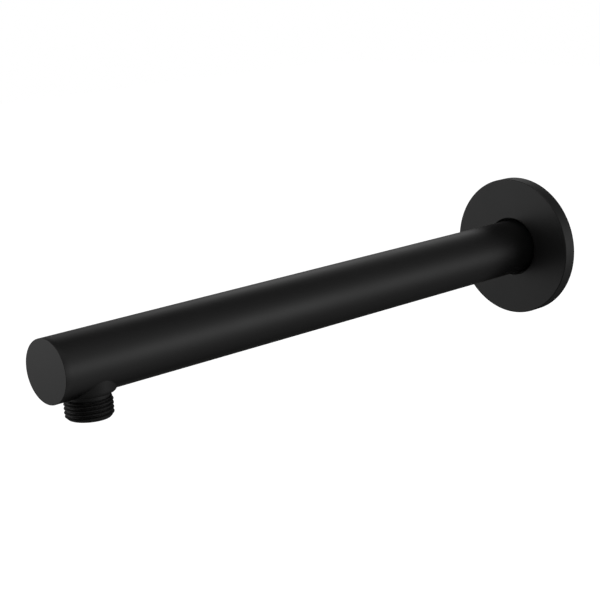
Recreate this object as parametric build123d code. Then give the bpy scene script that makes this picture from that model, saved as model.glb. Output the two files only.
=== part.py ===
from build123d import *

import os
from math import pi, sqrt

# Straight round wall-mounted shower arm with a sliding wall flange.
# All sizes are in millimetres. The origin is on the arm's axis in the wall plane,
# +Z is up, and the arm reaches out from the wall along -Y.

# Arm tube
arm_reach = 308.0  # wall plane to the flat front end
tube_diameter = 28.0
tube_wall = 1.5

# Front end cap, a disc in line with the tube and a plug inside it
cap_thickness = 3.0
cap_plug_length = 2.5
cap_edge_chamfer = 0.4

# Parallel pipe thread G 1/2, drawn as a plain cylinder over its crests
thread_diameter = 20.955
thread_depth = 1.162
waterway_diameter = 15.0  # nominal bore of a half-inch pipe, through both threaded ends

# Inlet nipple, a plug inside the tube, a collar in line with it and the wall thread
nipple_plug_length = 10.0
collar_thickness = 2.0
inlet_thread_length = 16.0
inlet_end_chamfer = 1.2

# Outlet spigot, a shoulder coped to the tube with a tail through its wall
outlet_setback = 19.75  # flat front end to the outlet's axis
outlet_thread_length = 8.65
outlet_end_chamfer = 1.3
relief_length = 2.1  # plain neck between the shoulder and the thread
boss_ledge = 1.95  # how far the shoulder stands out past the thread
boss_rise = 1.0  # shoulder face above the tube's underside, so it shows at the sides only
boss_edge_round = 1.9
tail_wall = 1.6
tail_stand = 0.4  # tail past the inside of the tube, at the sides of its hole

# Wall flange, a cover plate with a hollow back and a hub for its ring
flange_diameter = 72.0
flange_thickness = 7.0
flange_face_wall = 2.4
flange_rim_wall = 2.5
flange_gap = 1.2  # open gap between the tube and the hole in the plate
flange_edge_chamfer = 0.5
hole_edge_chamfer = 0.3
hub_wall = 2.6  # outside the ring's groove
hub_setback = 0.5  # hub kept off the wall, so that the rim seats

# O-ring inside the flange, which grips the tube, drawn with its flats where it is squeezed
ring_section = 2.65
ring_squeeze = 0.27

# Clearances
braze_gap = 0.05  # filled with braze between the pieces of the arm
ring_clearance = 0.05  # between the ring and what it runs on
groove_side_play = 0.5

# Derived sizes of the arm
tube_radius = tube_diameter / 2
bore_radius = tube_radius - tube_wall
plug_radius = bore_radius - braze_gap
thread_radius = thread_diameter / 2
relief_radius = thread_radius - thread_depth
waterway_radius = waterway_diameter / 2
tube_start = collar_thickness
tube_end = arm_reach - cap_thickness

# Derived places of the outlet, as distance from the wall and height from the axis
outlet_station = arm_reach - outlet_setback
boss_radius = thread_radius + boss_ledge
tail_radius = waterway_radius + tail_wall
shoulder_level = boss_rise - tube_radius
thread_top = shoulder_level - relief_length
outlet_end = thread_top - outlet_thread_length
tail_top = tail_stand - sqrt(bore_radius**2 - tail_radius**2)

# Derived sizes of the ring and the flange
ring_height = ring_section - ring_squeeze
ring_width = pi / 4 * ring_section**2 / ring_height  # as much rubber as the round section
ring_inner_radius = tube_radius + ring_clearance
ring_middle_radius = ring_inner_radius + ring_height / 2
groove_radius = ring_inner_radius + ring_height + ring_clearance
groove_width = ring_width + 2 * groove_side_play
groove_station = (hub_setback + flange_thickness) / 2
hub_radius = groove_radius + hub_wall
flange_radius = flange_diameter / 2
flange_hole_radius = tube_radius + flange_gap

# Sketch planes: distance from the wall and radius, and radius and height at the outlet
arm_section = Plane(origin=(0, 0, 0), x_dir=(0, -1, 0), z_dir=(-1, 0, 0))
outlet_section = Plane(origin=(0, -outlet_station, 0), x_dir=(1, 0, 0), z_dir=(0, -1, 0))
outlet_axis = Axis((0, -outlet_station, 0), (0, 0, 1))


def turned_on_arm(outline):
    return revolve(arm_section * make_face(outline), axis=Axis.Y)


def turned_on_outlet(outline):
    return revolve(outlet_section * make_face(outline), axis=outlet_axis)


def rod_on_arm(radius, start, end):
    return turned_on_arm(Polyline((start, 0), (end, 0), (end, radius), (start, radius), close=True))


def rod_on_outlet(radius, bottom, top):
    return turned_on_outlet(Polyline((0, bottom), (radius, bottom), (radius, top), (0, top), close=True))


def make_arm_tube():
    tube = rod_on_arm(tube_radius, tube_start, tube_end)
    tube -= rod_on_arm(bore_radius, tube_start, tube_end)
    tail_hole = rod_on_outlet(tail_radius + braze_gap, outlet_end, 0)
    return tube - tail_hole


def make_end_cap():
    return turned_on_arm(
        Polyline(
            (tube_end - cap_plug_length, 0),
            (arm_reach, 0),
            (arm_reach, tube_radius - cap_edge_chamfer),
            (arm_reach - cap_edge_chamfer, tube_radius),
            (tube_end, tube_radius),
            (tube_end, plug_radius),
            (tube_end - cap_plug_length, plug_radius),
            close=True,
        )
    )


def make_inlet_nipple():
    return turned_on_arm(
        Polyline(
            (-inlet_thread_length, waterway_radius),
            (-inlet_thread_length, thread_radius - inlet_end_chamfer),
            (inlet_end_chamfer - inlet_thread_length, thread_radius),
            (0, thread_radius),
            (0, tube_radius),
            (collar_thickness, tube_radius),
            (collar_thickness, plug_radius),
            (collar_thickness + nipple_plug_length, plug_radius),
            (collar_thickness + nipple_plug_length, waterway_radius),
            close=True,
        )
    )


def make_outlet_spigot():
    # The turned blank still has its shoulder standing up round the tail.
    blank = turned_on_outlet(
        Polyline(
            (waterway_radius, outlet_end),
            (thread_radius - outlet_end_chamfer, outlet_end),
            (thread_radius, outlet_end + outlet_end_chamfer),
            (thread_radius, thread_top),
            (relief_radius, thread_top),
            (relief_radius, shoulder_level),
            (boss_radius, shoulder_level),
            (boss_radius, 0),
            (tail_radius, 0),
            (tail_radius, tail_top),
            (waterway_radius, tail_top),
            close=True,
        )
    )
    shoulder_edge = blank.edges().filter_by(GeomType.CIRCLE).filter_by(
        lambda edge: abs(edge.radius - boss_radius) < braze_gap
    )
    blank = fillet(shoulder_edge.sort_by(Axis.Z)[0], boss_edge_round)
    # The shoulder is coped to the outside of the tube and the tail is left whole.
    seat = rod_on_arm(tube_radius + braze_gap, outlet_station - tube_diameter, arm_reach)
    tail = rod_on_outlet(tail_radius, outlet_end, tube_radius)
    return blank - (seat - tail)


def make_wall_flange():
    recess_floor = flange_thickness - flange_face_wall
    rim_inner_radius = flange_radius - flange_rim_wall
    groove_back = groove_station - groove_width / 2
    groove_front = groove_station + groove_width / 2
    return turned_on_arm(
        Polyline(
            (0, flange_radius),
            (flange_thickness - flange_edge_chamfer, flange_radius),
            (flange_thickness, flange_radius - flange_edge_chamfer),
            (flange_thickness, flange_hole_radius + hole_edge_chamfer),
            (flange_thickness - hole_edge_chamfer, flange_hole_radius),
            (groove_front, flange_hole_radius),
            (groove_front, groove_radius),
            (groove_back, groove_radius),
            (groove_back, flange_hole_radius),
            (hub_setback, flange_hole_radius),
            (hub_setback, hub_radius),
            (recess_floor, hub_radius),
            (recess_floor, rim_inner_radius),
            (0, rim_inner_radius),
            close=True,
        )
    )


def make_flange_o_ring():
    section = Pos(groove_station, ring_middle_radius) * Rectangle(ring_width, ring_height)
    return revolve(arm_section * section, axis=Axis.Y)


pieces = {
    "arm_tube": make_arm_tube(),
    "end_cap": make_end_cap(),
    "inlet_nipple": make_inlet_nipple(),
    "outlet_spigot": make_outlet_spigot(),
    "wall_flange": make_wall_flange(),
    "flange_o_ring": make_flange_o_ring(),
}

os.makedirs("parts", exist_ok=True)
for node, piece in pieces.items():
    export_step(piece, f"parts/{node}.step")
    print(f"{node}: {len(piece.solids())} solid, {piece.volume:.1f} mm3")
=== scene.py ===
import math

import bmesh
import bpy
from mathutils import Matrix, Vector


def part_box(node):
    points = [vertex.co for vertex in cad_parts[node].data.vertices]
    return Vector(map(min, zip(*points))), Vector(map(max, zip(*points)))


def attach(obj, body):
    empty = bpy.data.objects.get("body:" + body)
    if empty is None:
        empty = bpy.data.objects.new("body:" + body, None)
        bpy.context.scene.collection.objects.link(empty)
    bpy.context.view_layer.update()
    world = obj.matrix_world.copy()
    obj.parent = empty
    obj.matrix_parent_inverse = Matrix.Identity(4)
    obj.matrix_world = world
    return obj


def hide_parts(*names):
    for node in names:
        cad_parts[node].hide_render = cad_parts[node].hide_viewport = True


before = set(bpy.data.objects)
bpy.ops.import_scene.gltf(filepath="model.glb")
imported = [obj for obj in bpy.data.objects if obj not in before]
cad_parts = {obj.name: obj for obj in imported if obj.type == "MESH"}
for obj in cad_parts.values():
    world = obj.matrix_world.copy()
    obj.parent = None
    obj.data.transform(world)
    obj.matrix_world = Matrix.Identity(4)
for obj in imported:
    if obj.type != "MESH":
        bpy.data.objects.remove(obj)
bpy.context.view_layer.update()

mm = 0.001  # sizes in the dictionaries are in millimetres, Blender's are in metres
print("frame loaded,", len(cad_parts), "solids")

armAxis = Vector((0, -1, 0))  # out from the wall
sideways = Vector((1, 0, 0))
upwards = Vector((0, 0, 1))
wallMiddle = Vector((0, 0, 0))  # where the arm's axis meets the wall


# camera, at the viewing angle of the photograph

photoView = {
    "azimuth": 46.59,
    "elevation": 12.77,
    "roll": -3.20,
    "distance": 742.7,
    "aim": (-5.06, -159.2, 0.0),
    "lens": 94.604,
    "sensor": 36,
    "nearest": 10,  # nothing closer than this is drawn
    "farthest": 100000,  # and nothing farther
}


def placeCamera(view):
    bpy.ops.object.select_all(action="DESELECT")
    bpy.ops.object.camera_add()
    camera = bpy.context.object
    camera.name = "photoCamera"
    camera.data.sensor_width = view["sensor"]
    camera.data.lens = view["lens"]
    camera.data.clip_start = view["nearest"] * mm
    camera.data.clip_end = view["farthest"] * mm
    turn = Matrix.Rotation(math.radians(view["azimuth"]), 4, "Z")
    turn = turn @ Matrix.Rotation(math.radians(90 - view["elevation"]), 4, "X")
    turn = turn @ Matrix.Rotation(math.radians(view["roll"]), 4, "Z")
    back = turn @ Vector((0, 0, view["distance"] * mm))
    camera.matrix_world = Matrix.Translation(Vector(view["aim"]) * mm + back) @ turn
    bpy.context.scene.camera = camera


placeCamera(photoView)
print("camera placed")


# modelling by hand, in code

mergeGap = 0.001  # points closer than this, in millimetres, are one point
flatTolerance = 0.001  # how far from a flat a point may be and still count as on it
edgeTolerance = 0.02  # the same for a round edge
flatBorder = 0.05  # width of the ring that guards a flat face


def fromAxis(point):
    return math.hypot(point.x, point.z) / mm


def fromWall(point):
    return -point.y / mm


def near(a, b, within):
    return abs(a - b) < within


def selectOnly(piece):
    bpy.ops.object.select_all(action="DESELECT")
    piece.select_set(True)
    bpy.context.view_layer.objects.active = piece


def editOnly(piece):
    selectOnly(piece)
    bpy.ops.object.mode_set(mode="EDIT")


def pick(piece, kind, isWanted):
    # selects the edges or faces whose points all pass the test
    bpy.ops.mesh.select_mode(type=kind)
    bpy.ops.mesh.select_all(action="DESELECT")
    mesh = bmesh.from_edit_mesh(piece.data)
    for part in {"EDGE": mesh.edges, "FACE": mesh.faces}[kind]:
        if all(isWanted(vert.co) for vert in part.verts):
            part.select_set(True)
    bmesh.update_edit_mesh(piece.data)


def cleanUp():
    bpy.ops.mesh.select_all(action="SELECT")
    bpy.ops.mesh.remove_doubles(threshold=mergeGap * mm)
    bpy.ops.mesh.normals_make_consistent(inside=False)


def drawLine(name, points, closed):
    # one vertex, extruded from point to point
    bpy.ops.object.select_all(action="DESELECT")
    bpy.ops.mesh.primitive_plane_add(size=mm)
    piece = bpy.context.object
    piece.name = piece.data.name = name
    bpy.ops.object.mode_set(mode="EDIT")
    bpy.ops.mesh.select_mode(type="VERT")
    bpy.ops.mesh.select_all(action="SELECT")
    bpy.ops.mesh.merge(type="CENTER")
    bpy.ops.transform.translate(value=points[0])
    for before, after in zip(points, points[1:]):
        bpy.ops.mesh.extrude_region_move(TRANSFORM_OT_translate={"value": after - before})
    if closed:
        mesh = bmesh.from_edit_mesh(piece.data)
        mesh.verts.ensure_lookup_table()
        mesh.verts[0].select_set(True)
        bmesh.update_edit_mesh(piece.data)
        bpy.ops.mesh.edge_face_add()
    return piece


def turnOnLathe(name, outline, centre, axis, closed=True, steps=160, twist=0.0):
    # outline points are (radius, place along the axis) in millimetres. A twist of half a step keeps
    # the edges of a piece off the edges of the tool that cuts it
    across = Matrix.Rotation(twist * math.tau / steps, 3, axis) @ sideways
    points = [centre + across * radius * mm + axis * place * mm for radius, place in outline]
    piece = drawLine(name, points, closed)
    bpy.ops.mesh.select_all(action="SELECT")
    bpy.ops.mesh.spin(steps=steps, angle=math.tau, center=centre, axis=axis)
    cleanUp()
    bpy.ops.object.mode_set(mode="OBJECT")
    return piece


def addRod(name, radius, start, end, steps=160):
    along = end - start
    bpy.ops.object.select_all(action="DESELECT")
    bpy.ops.mesh.primitive_cylinder_add(
        vertices=steps,
        radius=radius * mm,
        depth=along.length,
        location=(start + end) / 2,
        rotation=along.to_track_quat("Z", "Y").to_euler(),
    )
    rod = bpy.context.object
    rod.name = rod.data.name = name
    bpy.ops.object.transform_apply(location=True, rotation=True, scale=True)
    return rod


def softenEdge(piece, isWanted, width, segments):
    editOnly(piece)
    pick(piece, "EDGE", isWanted)
    bpy.ops.mesh.bevel(offset=width * mm, segments=segments, affect="EDGES")
    bpy.ops.object.mode_set(mode="OBJECT")


def guardFlat(piece, isWanted):
    # a narrow ring inside the border of a flat face, so that smooth edges don't tilt its shading
    editOnly(piece)
    pick(piece, "FACE", isWanted)
    bpy.ops.mesh.inset(thickness=flatBorder * mm)
    bpy.ops.object.mode_set(mode="OBJECT")


def applyModifier(piece, modifier):
    selectOnly(piece)
    bpy.ops.object.modifier_apply(modifier=modifier.name)


def cutWith(piece, tool, operation="DIFFERENCE"):
    modifier = piece.modifiers.new("cut", "BOOLEAN")
    modifier.operation = operation
    modifier.solver = "EXACT"
    modifier.object = tool
    applyModifier(piece, modifier)
    bpy.data.objects.remove(tool)


def finishPiece(piece, node, body, material, sharpAngle=30):
    selectOnly(piece)
    bpy.ops.object.shade_smooth_by_angle(angle=math.radians(sharpAngle))
    piece.data.materials.clear()
    piece.data.materials.append(material)
    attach(piece, body)
    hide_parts(node)
    print(piece.name, "done,", len(piece.data.polygons), "faces")


# materials

def linearColour(hexValue):
    channels = [int(hexValue[i : i + 2], 16) / 255 for i in (1, 3, 5)]
    return [c / 12.92 if c <= 0.04045 else ((c + 0.055) / 1.055) ** 2.4 for c in channels] + [1]


def addNode(tree, kind, settings={}, links={}):
    node = tree.nodes.new(kind)
    for name, value in settings.items():
        if isinstance(name, int) or name in node.inputs:
            node.inputs[name].default_value = value
        else:
            setattr(node, name, value)
    for name, source in links.items():
        tree.links.new(source, node.inputs[name])
    return node


def newMaterial(name):
    material = bpy.data.materials.new(name)
    material.use_nodes = True
    material.node_tree.nodes.clear()
    return material, material.node_tree


satinCoat = {
    "deep": "#080808",
    "pale": "#0a0a0a",
    "ior": 1.55,
    "smooth": 0.31,
    "dull": 0.36,
    "peelSize": 1.4,  # ripple of the baked coat, crest to crest
    "peelHeight": 0.0015,
    "cloudSize": 35.0,  # slow change in how dense the coat lies
    "cloudLow": 0.3,  # part of the noise that goes from deep to pale
    "cloudHigh": 0.7,
}
plateCoat = dict(satinCoat, smooth=0.38, dull=0.44)  # on the flange, polished less than the tube
turnedCoat = dict(satinCoat, smooth=0.47, dull=0.53)  # on the threaded ends, turned and not polished


def makeSatinCoat(name, coat):
    # matt black electrophoretic lacquer, baked on brass: an even, near-black skin with a soft, wide
    # sheen and hardly any orange peel
    material, tree = newMaterial(name)
    place = addNode(tree, "ShaderNodeTexCoord").outputs["Object"]
    clouds = addNode(
        tree, "ShaderNodeTexNoise",
        {"Scale": 1 / (coat["cloudSize"] * mm), "Detail": 3.0, "Roughness": 0.55},
        {"Vector": place},
    )
    peel = addNode(
        tree, "ShaderNodeTexNoise",
        {"Scale": 1 / (coat["peelSize"] * mm), "Detail": 2.0, "Roughness": 0.5},
        {"Vector": place},
    )
    colour = addNode(tree, "ShaderNodeValToRGB", {}, {"Fac": clouds.outputs["Fac"]})
    colour.color_ramp.elements[0].position = coat["cloudLow"]
    colour.color_ramp.elements[0].color = linearColour(coat["deep"])
    colour.color_ramp.elements[1].position = coat["cloudHigh"]
    colour.color_ramp.elements[1].color = linearColour(coat["pale"])
    sheen = addNode(
        tree, "ShaderNodeMapRange",
        {
            "From Min": coat["cloudLow"],
            "From Max": coat["cloudHigh"],
            "To Min": coat["smooth"],
            "To Max": coat["dull"],
        },
        {"Value": clouds.outputs["Fac"]},
    )
    ripple = addNode(
        tree, "ShaderNodeBump",
        {"Strength": 1.0, "Distance": coat["peelHeight"] * mm},
        {"Height": peel.outputs["Fac"]},
    )
    skin = addNode(
        tree, "ShaderNodeBsdfPrincipled",
        {"IOR": coat["ior"]},
        {
            "Base Color": colour.outputs["Color"],
            "Roughness": sheen.outputs["Result"],
            "Normal": ripple.outputs["Normal"],
        },
    )
    addNode(tree, "ShaderNodeOutputMaterial", {}, {"Surface": skin.outputs["BSDF"]})
    return material


sealRubber = {
    "deep": "#0d0d0d",
    "pale": "#161616",
    "ior": 1.5,
    "roughness": 0.75,
    "bloomSize": 4.0,
    "bloomLow": 0.35,  # part of the noise that goes from deep to pale
    "bloomHigh": 0.75,
}


def makeSealRubber(rubber):
    # EPDM rubber as it comes from the mould: dull, with a faint grey bloom in patches
    material, tree = newMaterial("mouldedEpdmRubber")
    place = addNode(tree, "ShaderNodeTexCoord").outputs["Object"]
    bloom = addNode(
        tree, "ShaderNodeTexNoise",
        {"Scale": 1 / (rubber["bloomSize"] * mm), "Detail": 4.0},
        {"Vector": place},
    )
    colour = addNode(tree, "ShaderNodeValToRGB", {}, {"Fac": bloom.outputs["Fac"]})
    colour.color_ramp.elements[0].position = rubber["bloomLow"]
    colour.color_ramp.elements[0].color = linearColour(rubber["deep"])
    colour.color_ramp.elements[1].position = rubber["bloomHigh"]
    colour.color_ramp.elements[1].color = linearColour(rubber["pale"])
    skin = addNode(
        tree, "ShaderNodeBsdfPrincipled",
        {"IOR": rubber["ior"], "Roughness": rubber["roughness"]},
        {"Base Color": colour.outputs["Color"]},
    )
    addNode(tree, "ShaderNodeOutputMaterial", {}, {"Surface": skin.outputs["BSDF"]})
    return material


blackCoat = makeSatinCoat("matteBlackLacquerOnPolishedBrass", satinCoat)
dullBlackCoat = makeSatinCoat("matteBlackLacquerOnTurnedBrass", turnedCoat)
plateBlackCoat = makeSatinCoat("matteBlackLacquerOnFacedBrass", plateCoat)
blackRubber = makeSealRubber(sealRubber)
print("materials made")


# arm tube, drawn brass pipe with a hole for the outlet's tail

armTube = {
    "radius": 14.0,
    "wall": 1.5,
    "outletPlace": 288.25,  # outlet's axis from the wall
    "holeRadius": 9.15,
    "holeMargin": 1.2,  # extra edge rings each side of the hole
}


def makeArmTube(tube):
    low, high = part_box("arm_tube")
    piece = addRod("armTube", tube["radius"], Vector((0, high.y, 0)), Vector((0, low.y, 0)))
    editOnly(piece)
    for end in (fromWall(high), fromWall(low)):
        pick(piece, "FACE", lambda point: near(fromWall(point), end, flatTolerance))
        bpy.ops.mesh.delete(type="ONLY_FACE")
    reach = tube["holeRadius"] + tube["holeMargin"]
    for place in (tube["outletPlace"] - reach, tube["outletPlace"] + reach):
        bpy.ops.mesh.select_all(action="SELECT")
        bpy.ops.mesh.bisect(plane_co=armAxis * place * mm, plane_no=armAxis)
    bpy.ops.object.mode_set(mode="OBJECT")
    wall = piece.modifiers.new("wall", "SOLIDIFY")
    wall.thickness = tube["wall"] * mm
    wall.offset = -1  # all of it inwards
    applyModifier(piece, wall)
    centre = armAxis * tube["outletPlace"] * mm
    drillEnd = -2 * tube["radius"]
    hole = [(0, drillEnd), (tube["holeRadius"], drillEnd), (tube["holeRadius"], 0), (0, 0)]
    drill = turnOnLathe("tailDrill", hole, centre, upwards, closed=False, twist=0.5)
    cutWith(piece, drill)
    finishPiece(piece, "arm_tube", "arm", blackCoat)


makeArmTube(armTube)


# end cap, a turned disc with a plug that goes into the tube

endCap = {
    "radius": 14.0,
    "thickness": 3.0,
    "plugRadius": 12.45,
    "plugLength": 2.5,
    "edgeRound": 0.15,
}


def makeEndCap(cap):
    front = Vector((0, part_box("end_cap")[0].y, 0))
    seat = front - armAxis * cap["thickness"] * mm

    def isOnFront(point):
        return near(fromWall(point), fromWall(front), flatTolerance)

    def isOnSeat(point):
        return near(fromWall(point), fromWall(seat), flatTolerance)

    piece = addRod("endCap", cap["radius"], seat, front)
    editOnly(piece)
    pick(piece, "FACE", isOnSeat)
    bpy.ops.mesh.inset(thickness=(cap["radius"] - cap["plugRadius"]) * mm)
    bpy.ops.mesh.extrude_region_move(
        TRANSFORM_OT_translate={"value": -armAxis * cap["plugLength"] * mm}
    )
    cleanUp()
    bpy.ops.object.mode_set(mode="OBJECT")
    softenEdge(piece, isOnFront, cap["edgeRound"], segments=4)
    guardFlat(piece, isOnFront)
    finishPiece(piece, "end_cap", "arm", blackCoat)


makeEndCap(endCap)


# parallel pipe thread G 1/2, cut as a helical groove with rounded roots and crests

pipeThread = {
    "crestRadius": 10.4775,
    "pitch": 1.814,
    "depth": 1.162,
    "flank": 27.5,  # half of the 55 degree form
    "round": 0.249,
    "roundPieces": 3,  # straight pieces along each half of a rounded root or crest
    "crestLand": 0.06,  # half of the flat left between two grooves
    "overshoot": 0.15,  # how far the cutter stands out past the crests
    "runOutLift": 1.5,  # how far it lifts where a thread runs out, in thread depths
    "stepsPerTurn": 96,
}


def grooveSection(thread):
    # the cutter's section, as (distance from the groove's middle, depth under the crest)
    arc = math.radians(90 - thread["flank"])
    pieces = thread["roundPieces"]
    angles = [arc * part / pieces for part in range(pieces + 1)]
    root = [
        (
            thread["round"] * math.sin(a),
            thread["depth"] - thread["round"] + thread["round"] * math.cos(a),
        )
        for a in angles
    ]
    crest = [
        (
            thread["pitch"] / 2 - thread["round"] * math.sin(a),
            thread["round"] - thread["round"] * math.cos(a),
        )
        for a in reversed(angles[1:])
    ]
    edge = thread["pitch"] / 2 - thread["crestLand"]
    edgeDepth = thread["round"] - math.sqrt(thread["round"] ** 2 - thread["crestLand"] ** 2)
    half = root + crest + [(edge, edgeDepth), (edge, -thread["overshoot"])]
    return [(-offset, depth) for offset, depth in reversed(half[1:])] + half


def cutThread(piece, thread, centre, axis, start, end, runOut):
    # the groove's middle goes from start to end along the axis, straight out to the side at the start,
    # and over runOut turns at the start it rises out of the metal
    turns = (end - start) / thread["pitch"]
    points = [
        Vector(((thread["crestRadius"] - depth) * mm, 0, (start + offset) * mm))
        for offset, depth in grooveSection(thread)
    ]
    cutter = drawLine("threadCutter", points, True)
    bpy.ops.object.mode_set(mode="OBJECT")
    helix = cutter.modifiers.new("helix", "SCREW")
    helix.angle = turns * math.tau
    helix.screw_offset = turns * thread["pitch"] * mm
    helix.steps = helix.render_steps = round(turns * thread["stepsPerTurn"])
    helix.use_merge_vertices = False
    applyModifier(cutter, helix)
    lift = thread["runOutLift"] * thread["depth"] * mm
    rising = round(runOut * thread["stepsPerTurn"])
    for vert in cutter.data.vertices:
        step = vert.index // len(points)
        if step < rising:
            outwards = Vector((vert.co.x, vert.co.y, 0)).normalized()
            vert.co += outwards * lift * (1 - step / rising)
    editOnly(cutter)
    bpy.ops.mesh.select_all(action="SELECT")
    bpy.ops.mesh.fill_holes(sides=0)
    cleanUp()
    bpy.ops.object.mode_set(mode="OBJECT")
    cutter.rotation_euler = upwards.rotation_difference(axis).to_euler()
    cutter.location = centre
    bpy.ops.object.transform_apply(location=True, rotation=True, scale=True)
    cutWith(piece, cutter)


# inlet nipple, the threaded end that screws into the wall

inletNipple = {
    "bore": 7.5,
    "collarRadius": 14.0,
    "collar": 2.0,
    "plugRadius": 12.45,
    "plugLength": 10.0,
    "threadLength": 16.0,
    "endChamfer": 1.2,
    "boreChamfer": 0.4,
    "grooveStart": 1.6,  # middle of the first groove, from the collar
    "groovePast": 1.5,  # the groove goes on this far past the end
    "runOut": 0.6,  # turns over which the groove fades out at the collar
}


def makeInletNipple(nipple, thread):
    end = -nipple["threadLength"]
    plugEnd = nipple["collar"] + nipple["plugLength"]
    outline = [
        (nipple["bore"], end + nipple["boreChamfer"]),
        (nipple["bore"] + nipple["boreChamfer"], end),
        (thread["crestRadius"] - nipple["endChamfer"], end),
        (thread["crestRadius"], end + nipple["endChamfer"]),
        (thread["crestRadius"], 0),
        (nipple["collarRadius"], 0),
        (nipple["collarRadius"], nipple["collar"]),
        (nipple["plugRadius"], nipple["collar"]),
        (nipple["plugRadius"], plugEnd),
        (nipple["bore"], plugEnd),
    ]
    piece = turnOnLathe("inletNipple", outline, wallMiddle, armAxis, twist=0.5)
    grooveEnd = nipple["threadLength"] + nipple["groovePast"]
    cutThread(
        piece, thread, wallMiddle, -armAxis, nipple["grooveStart"], grooveEnd, nipple["runOut"]
    )
    finishPiece(piece, "inlet_nipple", "arm", dullBlackCoat)


makeInletNipple(inletNipple, pipeThread)


# outlet spigot, a turned thread and shoulder, coped to the tube, with a tail through its wall

outletSpigot = {
    "place": 288.25,  # axis from the wall
    "bore": 7.5,
    "boreFlare": 1.0,  # the countersink's cone, wider than the bore by this
    "flareBelow": 1.0,  # where that is, under the end
    "flareAbove": 0.4,  # and where the cone meets the bore, inside
    "end": -23.75,
    "endChamfer": 1.3,
    "threadTop": -15.1,
    "topChamfer": 0.5,
    "reliefRadius": 9.3,
    "shoulder": -13.0,
    "shoulderRadius": 12.4275,
    "shoulderRound": 1.9,
    "seatRadius": 13.98,  # sunk in the braze, so that no gap shows
    "seatBack": 20,  # how far the seat is cut towards the wall
    "seatFront": 18,  # and towards the front end
    "tailRadius": 9.1,
    "tailTop": -8.17,
    "grooveStart": -24.99,  # middle of the groove straight out to the side, under the end
    "grooveEnd": -14.6,
}


def makeOutletSpigot(spigot, thread):
    centre = armAxis * spigot["place"] * mm
    outline = [
        (0, spigot["end"]),
        (thread["crestRadius"] - spigot["endChamfer"], spigot["end"]),
        (thread["crestRadius"], spigot["end"] + spigot["endChamfer"]),
        (thread["crestRadius"], spigot["threadTop"] - spigot["topChamfer"]),
        (thread["crestRadius"] - spigot["topChamfer"], spigot["threadTop"]),
        (spigot["reliefRadius"], spigot["threadTop"]),
        (spigot["reliefRadius"], spigot["shoulder"]),
        (spigot["shoulderRadius"], spigot["shoulder"]),
        (spigot["shoulderRadius"], 0),
        (0, 0),
    ]
    piece = turnOnLathe("outletSpigot", outline, centre, upwards, closed=False, twist=0.5)

    def isShoulderEdge(point):
        radius = math.hypot(point.x, point.y - centre.y) / mm
        isOut = near(radius, spigot["shoulderRadius"], edgeTolerance)
        return isOut and near(point.z / mm, spigot["shoulder"], edgeTolerance)

    softenEdge(piece, isShoulderEdge, spigot["shoulderRound"], segments=8)
    seatStart = centre - armAxis * spigot["seatBack"] * mm
    seatEnd = centre + armAxis * spigot["seatFront"] * mm
    cutWith(piece, addRod("seat", spigot["seatRadius"], seatStart, seatEnd))
    tailStart = centre + upwards * spigot["shoulder"] * mm
    tailEnd = centre + upwards * spigot["tailTop"] * mm
    cutWith(piece, addRod("tail", spigot["tailRadius"], tailStart, tailEnd), "UNION")
    flareStart = spigot["end"] - spigot["flareBelow"]
    waterway = [
        (0, flareStart),
        (spigot["bore"] + spigot["boreFlare"], flareStart),
        (spigot["bore"], spigot["end"] + spigot["flareAbove"]),
        (spigot["bore"], 0),
        (0, 0),
    ]
    cutWith(piece, turnOnLathe("boreDrill", waterway, centre, upwards, closed=False))
    cutThread(
        piece, thread, centre, upwards, spigot["grooveStart"], spigot["grooveEnd"], runOut=0
    )
    finishPiece(piece, "outlet_spigot", "arm", dullBlackCoat)


makeOutletSpigot(outletSpigot, pipeThread)


# wall flange, a turned cover plate with a hollow back and a hub that holds the O-ring

wallFlange = {
    "radius": 36.0,
    "thickness": 7.0,
    "faceWall": 2.4,
    "rimWall": 2.5,
    "hole": 15.2,
    "grooveRadius": 16.48,
    "grooveWidth": 3.317,
    "hubWall": 2.6,
    "hubSetback": 0.5,
    "edgeRound": 0.5,
    "holeRound": 0.3,
    "recessRound": 0.6,
}


def makeWallFlange(flange):
    floor = flange["thickness"] - flange["faceWall"]
    hub = flange["grooveRadius"] + flange["hubWall"]
    rim = flange["radius"] - flange["rimWall"]
    middle = (flange["hubSetback"] + flange["thickness"]) / 2
    grooveBack = middle - flange["grooveWidth"] / 2
    grooveFront = middle + flange["grooveWidth"] / 2
    outline = [
        (flange["radius"], 0),
        (flange["radius"], flange["thickness"]),
        (flange["hole"], flange["thickness"]),
        (flange["hole"], grooveFront),
        (flange["grooveRadius"], grooveFront),
        (flange["grooveRadius"], grooveBack),
        (flange["hole"], grooveBack),
        (flange["hole"], flange["hubSetback"]),
        (hub, flange["hubSetback"]),
        (hub, floor),
        (rim, floor),
        (rim, 0),
    ]
    piece = turnOnLathe("wallFlange", outline, wallMiddle, armAxis, steps=240)
    rounds = [  # radius and place of the edge, width and segments of its round
        (flange["radius"], flange["thickness"], flange["edgeRound"], 5),
        (flange["hole"], flange["thickness"], flange["holeRound"], 3),
        (hub, floor, flange["recessRound"], 3),
        (rim, floor, flange["recessRound"], 3),
    ]
    for radius, place, width, segments in rounds:
        def isCorner(point):
            isAtRadius = near(fromAxis(point), radius, edgeTolerance)
            return isAtRadius and near(fromWall(point), place, edgeTolerance)
        softenEdge(piece, isCorner, width, segments)
    for place in (flange["thickness"], floor):
        guardFlat(piece, lambda point: near(fromWall(point), place, flatTolerance))
    finishPiece(piece, "wall_flange", "flange", plateBlackCoat)


makeWallFlange(wallFlange)


# O-ring in the flange, squeezed between its groove and the tube

flangeRing = {
    "place": 3.75,  # middle of the groove from the wall
    "middleRadius": 15.24,
    "halfHeight": 1.25,  # pressed against the tube and its groove, so no light comes past
    "halfWidth": 1.4,  # the squeezed rubber bulges sideways
}


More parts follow.
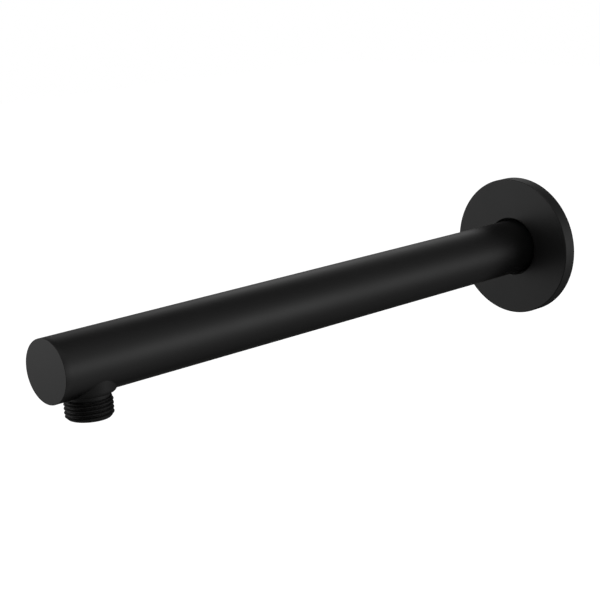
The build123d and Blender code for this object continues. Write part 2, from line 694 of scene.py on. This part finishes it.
def makeFlangeRing(ring):
    middle = armAxis * ring["place"] * mm
    bpy.ops.object.select_all(action="DESELECT")
    bpy.ops.mesh.primitive_torus_add(
        major_segments=160, minor_segments=24,
        major_radius=ring["middleRadius"] * mm, minor_radius=ring["halfHeight"] * mm,
        location=middle, rotation=(math.pi / 2, 0, 0),
    )
    piece = bpy.context.object
    piece.name = piece.data.name = "flangeRing"
    bpy.ops.object.transform_apply(location=True, rotation=True, scale=True)
    editOnly(piece)
    bpy.ops.mesh.select_all(action="SELECT")
    bpy.ops.transform.resize(
        value=(1, ring["halfWidth"] / ring["halfHeight"], 1), center_override=middle
    )
    bpy.ops.object.mode_set(mode="OBJECT")
    finishPiece(piece, "flange_o_ring", "ring", blackRubber, sharpAngle=60)


makeFlangeRing(flangeRing)


# stage: a pale floor, a white surround, a soft key light, and a tent that only the sheen of the coat
# sees, with a bright strip to the right and soft panels behind the arm, left of the camera and overhead

studio = {
    "floorDrop": 2000,
    "floorSize": 40000,
    "floorColour": "#e6e6e6",
    "floorGlow": 0.45,
    "surround": 1.0,
    "surroundOnMatt": 0.8,
    "tentRadius": 1900,
    "tentMiddle": (0, -160, 0),
    "tentLevels": [  # at the arm's height, by direction: 0 is to the right, 90 is into the wall
        (-180, 0.24), (-155, 0.26), (-130, 0.30), (-115, 0.26), (-95, 0.16),
        (-52, 0.11), (-30, 0.20), (-10, 0.27), (8, 0.42), (23, 0.56), (30, 0.85),
        (34, 1.35), (38, 1.15), (43, 0.78), (48, 0.62), (56, 0.43), (75, 0.30),
        (92, 0.20), (112, 0.10), (145, 0.20), (180, 0.24),
    ],
    "tentFade": 0.32,  # height, in tent radii, at which about 0.6 of that is left
    "tentBelow": 0.33,  # share that is left low down
    "tentAbove": 0.36,  # and high up
    "panels": [  # middle and reach in tent radii, and level
        ((-0.54, 0.68, 0.46), (0.95, 0.33, 0.38), 0.60),  # behind the arm
        ((-0.74, -0.64, 0.10), (0.72, 0.72, 0.52), 1.14),  # left of the camera
        ((0.00, -0.35, 0.94), (1.10, 0.80, 0.60), 0.80),  # overhead
    ],
    "keyPlace": (-1000, -1300, 1500),
    "keyAim": (0, -150, 0),
    "keySize": 1400,
    "keyPower": 12,
}


def addSeenRays(tree):
    # 1 where the camera, a reflection or glass looks, and 0 for light that falls on matt surfaces
    rays = addNode(tree, "ShaderNodeLightPath")
    seen = addNode(
        tree, "ShaderNodeMath", {"operation": "MAXIMUM"},
        {0: rays.outputs["Is Camera Ray"], 1: rays.outputs["Is Glossy Ray"]},
    )
    seen = addNode(
        tree, "ShaderNodeMath", {"operation": "MAXIMUM"},
        {0: seen.outputs[0], 1: rays.outputs["Is Transmission Ray"]},
    )
    return seen.outputs[0]


def layFloor(stage):
    bpy.ops.object.select_all(action="DESELECT")
    bpy.ops.mesh.primitive_plane_add(
        size=stage["floorSize"] * mm, location=(0, 0, -stage["floorDrop"] * mm)
    )
    floor = bpy.context.object
    floor.name = "paleFloor"
    # matt pale paint, with a glow that the camera and reflections see, so that the ground reads as white
    material, tree = newMaterial("paleFloorPaint")
    paint = addNode(
        tree, "ShaderNodeBsdfDiffuse", {"Color": linearColour(stage["floorColour"])}
    )
    level = addNode(
        tree, "ShaderNodeMath", {"operation": "MULTIPLY", 1: stage["floorGlow"]},
        {0: addSeenRays(tree)},
    )
    glow = addNode(tree, "ShaderNodeEmission", {}, {"Strength": level.outputs[0]})
    both = addNode(
        tree, "ShaderNodeAddShader", {}, {0: paint.outputs[0], 1: glow.outputs[0]}
    )
    addNode(tree, "ShaderNodeOutputMaterial", {}, {"Surface": both.outputs[0]})
    floor.data.materials.append(material)


def makeTentCloth(stage):
    # white cloth lit from outside, brighter where a lamp stands behind it
    cloth, tree = newMaterial("gradedTentCloth")
    radius = stage["tentRadius"] * mm
    place = addNode(tree, "ShaderNodeTexCoord").outputs["Object"]
    parts = addNode(tree, "ShaderNodeSeparateXYZ", {}, {"Vector": place})
    direction = addNode(
        tree, "ShaderNodeMath", {"operation": "ARCTAN2"},
        {0: parts.outputs["Y"], 1: parts.outputs["X"]},
    )
    share = addNode(
        tree, "ShaderNodeMapRange", {"From Min": -math.pi, "From Max": math.pi},
        {"Value": direction.outputs[0]},
    )
    sides = addNode(tree, "ShaderNodeValToRGB", {}, {"Fac": share.outputs["Result"]})
    stops = sides.color_ramp.elements
    for degrees, level in stage["tentLevels"][1:-1]:
        stops.new(degrees / 360 + 0.5)
    for stop, (degrees, level) in zip(stops, stage["tentLevels"]):
        stop.position = degrees / 360 + 0.5
        stop.color = (level, level, level, 1)
    height = addNode(
        tree, "ShaderNodeMath", {"operation": "DIVIDE", 1: stage["tentFade"] * radius},
        {0: parts.outputs["Z"]},
    )
    square = addNode(
        tree, "ShaderNodeMath", {"operation": "MULTIPLY"},
        {0: height.outputs[0], 1: height.outputs[0]},
    )
    belt = addNode(
        tree, "ShaderNodeMath", {"operation": "POWER", 0: math.exp(-1)}, {1: square.outputs[0]}
    )
    rest = addNode(
        tree, "ShaderNodeMapRange",
        {"From Min": -1.0, "To Min": stage["tentBelow"], "To Max": stage["tentAbove"]},
        {"Value": height.outputs[0]},
    )
    fade = addNode(
        tree, "ShaderNodeMapRange", {},
        {"Value": belt.outputs[0], "To Min": rest.outputs["Result"]},
    )
    light = addNode(
        tree, "ShaderNodeMath", {"operation": "MULTIPLY"},
        {0: sides.outputs["Color"], 1: fade.outputs["Result"]},
    )
    for middle, reach, level in stage["panels"]:
        offset = addNode(
            tree, "ShaderNodeMapping",
            {
                "vector_type": "TEXTURE",
                "Location": Vector(middle) * radius,
                "Scale": Vector(reach) * radius,
            },
            {"Vector": place},
        )
        away = addNode(
            tree, "ShaderNodeVectorMath", {"operation": "LENGTH"}, {0: offset.outputs["Vector"]}
        )
        panel = addNode(
            tree, "ShaderNodeMapRange",
            {"interpolation_type": "SMOOTHSTEP", "To Min": level, "To Max": 0.0},
            {"Value": away.outputs["Value"]},
        )
        light = addNode(
            tree, "ShaderNodeMath", {"operation": "ADD"},
            {0: light.outputs[0], 1: panel.outputs["Result"]},
        )
    glow = addNode(tree, "ShaderNodeEmission", {}, {"Strength": light.outputs[0]})
    addNode(tree, "ShaderNodeOutputMaterial", {}, {"Surface": glow.outputs[0]})
    return cloth


def pitchTent(stage):
    bpy.ops.object.select_all(action="DESELECT")
    bpy.ops.mesh.primitive_uv_sphere_add(
        segments=96, ring_count=64, radius=stage["tentRadius"] * mm,
        location=Vector(stage["tentMiddle"]) * mm,
    )
    tent = bpy.context.object
    tent.name = "softTent"
    tent.data.materials.append(makeTentCloth(stage))
    tent.visible_camera = False  # only the sheen of the coat sees the tent
    tent.visible_diffuse = False
    tent.visible_transmission = False
    tent.visible_shadow = False


def hangSurround(stage):
    world = bpy.data.worlds.new("whiteSurround")
    bpy.context.scene.world = world
    world.use_nodes = True
    tree = world.node_tree
    tree.nodes.clear()
    white = linearColour("#ffffff")
    onMatt = addNode(
        tree, "ShaderNodeBackground", {"Color": white, "Strength": stage["surroundOnMatt"]}
    )
    inView = addNode(
        tree, "ShaderNodeBackground", {"Color": white, "Strength": stage["surround"]}
    )
    either = addNode(
        tree, "ShaderNodeMixShader", {},
        {0: addSeenRays(tree), 1: onMatt.outputs[0], 2: inView.outputs[0]},
    )
    addNode(tree, "ShaderNodeOutputWorld", {}, {"Surface": either.outputs[0]})


def placeKeyLight(stage):
    bpy.ops.object.select_all(action="DESELECT")
    bpy.ops.object.light_add(type="AREA", location=Vector(stage["keyPlace"]) * mm)
    key = bpy.context.object
    key.name = "keySoftbox"
    key.data.size = stage["keySize"] * mm
    key.data.energy = stage["keyPower"]
    towards = Vector(stage["keyAim"]) * mm - key.location
    key.rotation_euler = towards.to_track_quat("-Z", "Y").to_euler()
    key.visible_glossy = False


layFloor(studio)
pitchTent(studio)
hangSurround(studio)
placeKeyLight(studio)
bpy.context.scene.view_settings.view_transform = "Standard"
print("stage lit")
